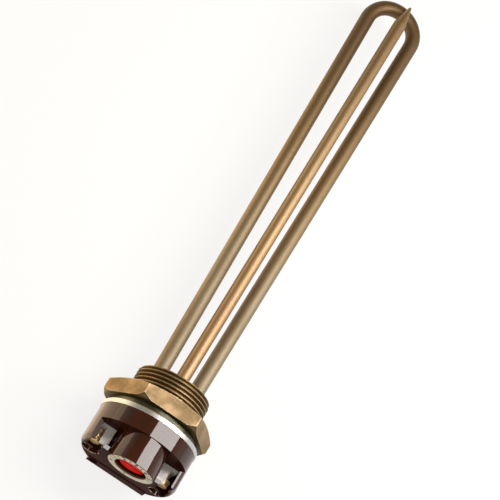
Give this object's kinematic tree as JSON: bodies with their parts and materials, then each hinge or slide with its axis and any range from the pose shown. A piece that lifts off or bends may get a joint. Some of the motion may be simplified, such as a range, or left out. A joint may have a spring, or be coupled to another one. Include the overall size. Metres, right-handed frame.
{
  "type": "screw-in immersion heating element with rod thermostat",
  "caption": "Screw-in immersion heater: hairpin sheathed element and thermostat pocket on a brass hexagon plug, with a moulded terminal head and red adjuster.",
  "frame": {"origin": "centre of the hexagon's sealing face, on the axis of the screw thread", "axes": "+Y along the thread towards the hairpin's bend, +Z towards the side of the dial boss and the terminal windows, +X to the right when the dial boss faces the viewer and the hairpin points up"},
  "size_m": [0.0636, 0.3262, 0.056],
  "materials": {
    "plug_brass": "machined brass with a dull warm skin",
    "sheath_metal": "annealed sheath tube, bronze brown with a soft sheen",
    "pocket_copper": "drawn copper-alloy tube, golden brown",
    "oxide": "compacted magnesium oxide powder",
    "coil_wire": "resistance wire",
    "plated_steel": "zinc-plated steel",
    "seal_rubber": "moulded silicone",
    "stem_brass": "drawn brass",
    "rod_steel": "drawn low-expansion steel",
    "base_metal": "bright pressed metal",
    "screw_steel": "plated steel screw",
    "dark_moulding": "glossy red-brown phenolic moulding",
    "spring_bronze": "rolled spring bronze",
    "tinned_brass": "tinned brass strip",
    "screw_brass": "bright turned brass",
    "scale_cream": "cream printed scale",
    "knob_red": "red moulded disc"
  },
  "bodies": {
    "fixed": {"screw_plug": "plug_brass", "element_sheath": "sheath_metal", "mineral_fill": "oxide", "resistance_coil": "coil_wire", "cold_pin_left": "plated_steel", "cold_pin_right": "plated_steel", "end_seal_left": "seal_rubber", "end_seal_right": "seal_rubber", "thermostat_pocket": "pocket_copper", "sensing_tube": "stem_brass", "expansion_rod": "rod_steel", "head_base": "base_metal", "thermostat_plate": "plated_steel", "base_screws": "screw_steel", "blade_block": "dark_moulding", "blade_rivet": "screw_steel", "switch_link": "tinned_brass", "element_link": "tinned_brass", "fixed_contact": "tinned_brass", "terminal_left": "tinned_brass", "terminal_right": "tinned_brass", "housing": "dark_moulding", "housing_screw": "screw_steel", "scale_ring": "scale_cream", "adjuster_bush": "stem_brass"},
    "switch_blade": {"contact_blade": "spring_bronze"},
    "adjuster": {"adjuster_spindle": "stem_brass", "adjuster_knob": "knob_red"},
    "washer_left": {"clamp_washer_left": "screw_brass"},
    "screw_left": {"terminal_screw_left": "screw_brass"},
    "washer_right": {"clamp_washer_right": "screw_brass"},
    "screw_right": {"terminal_screw_right": "screw_brass"}
  },
  "joints": [
    {"name": "adjuster_turn", "type": "hinge", "parent": "fixed", "child": "adjuster", "pos_m": [0, -0.037, 0.0141], "axis": [0, 1, 0], "range_deg": [-135, 135]},
    {"name": "blade_flex", "type": "hinge", "parent": "fixed", "child": "switch_blade", "pos_m": [0, -0.0172, -0.009], "axis": [-1, 0, 0], "range_deg": [0, 1.2]},
    {"name": "clamp_travel_left", "type": "slide", "parent": "fixed", "child": "washer_left", "axis": [0, 1, 0], "range_m": [-0.0015, 0.0035]},
    {"name": "screw_turn_left", "type": "hinge", "parent": "washer_left", "child": "screw_left", "pos_m": [-0.0208, -0.031, -0.0034], "axis": [0, 1, 0], "range_deg": [-900.5, 2100.5]},
    {"name": "clamp_travel_right", "type": "slide", "parent": "fixed", "child": "washer_right", "axis": [0, 1, 0], "range_m": [-0.0015, 0.0035]},
    {"name": "screw_turn_right", "type": "hinge", "parent": "washer_right", "child": "screw_right", "pos_m": [0.0208, -0.031, -0.0034], "axis": [0, 1, 0], "range_deg": [-900.5, 2100.5]}
  ],
  "couplings": [
    {"joint": "screw_turn_left", "follows": "clamp_travel_left", "rad_per_m": 10472},
    {"joint": "screw_turn_right", "follows": "clamp_travel_right", "rad_per_m": 10472}
  ]
}
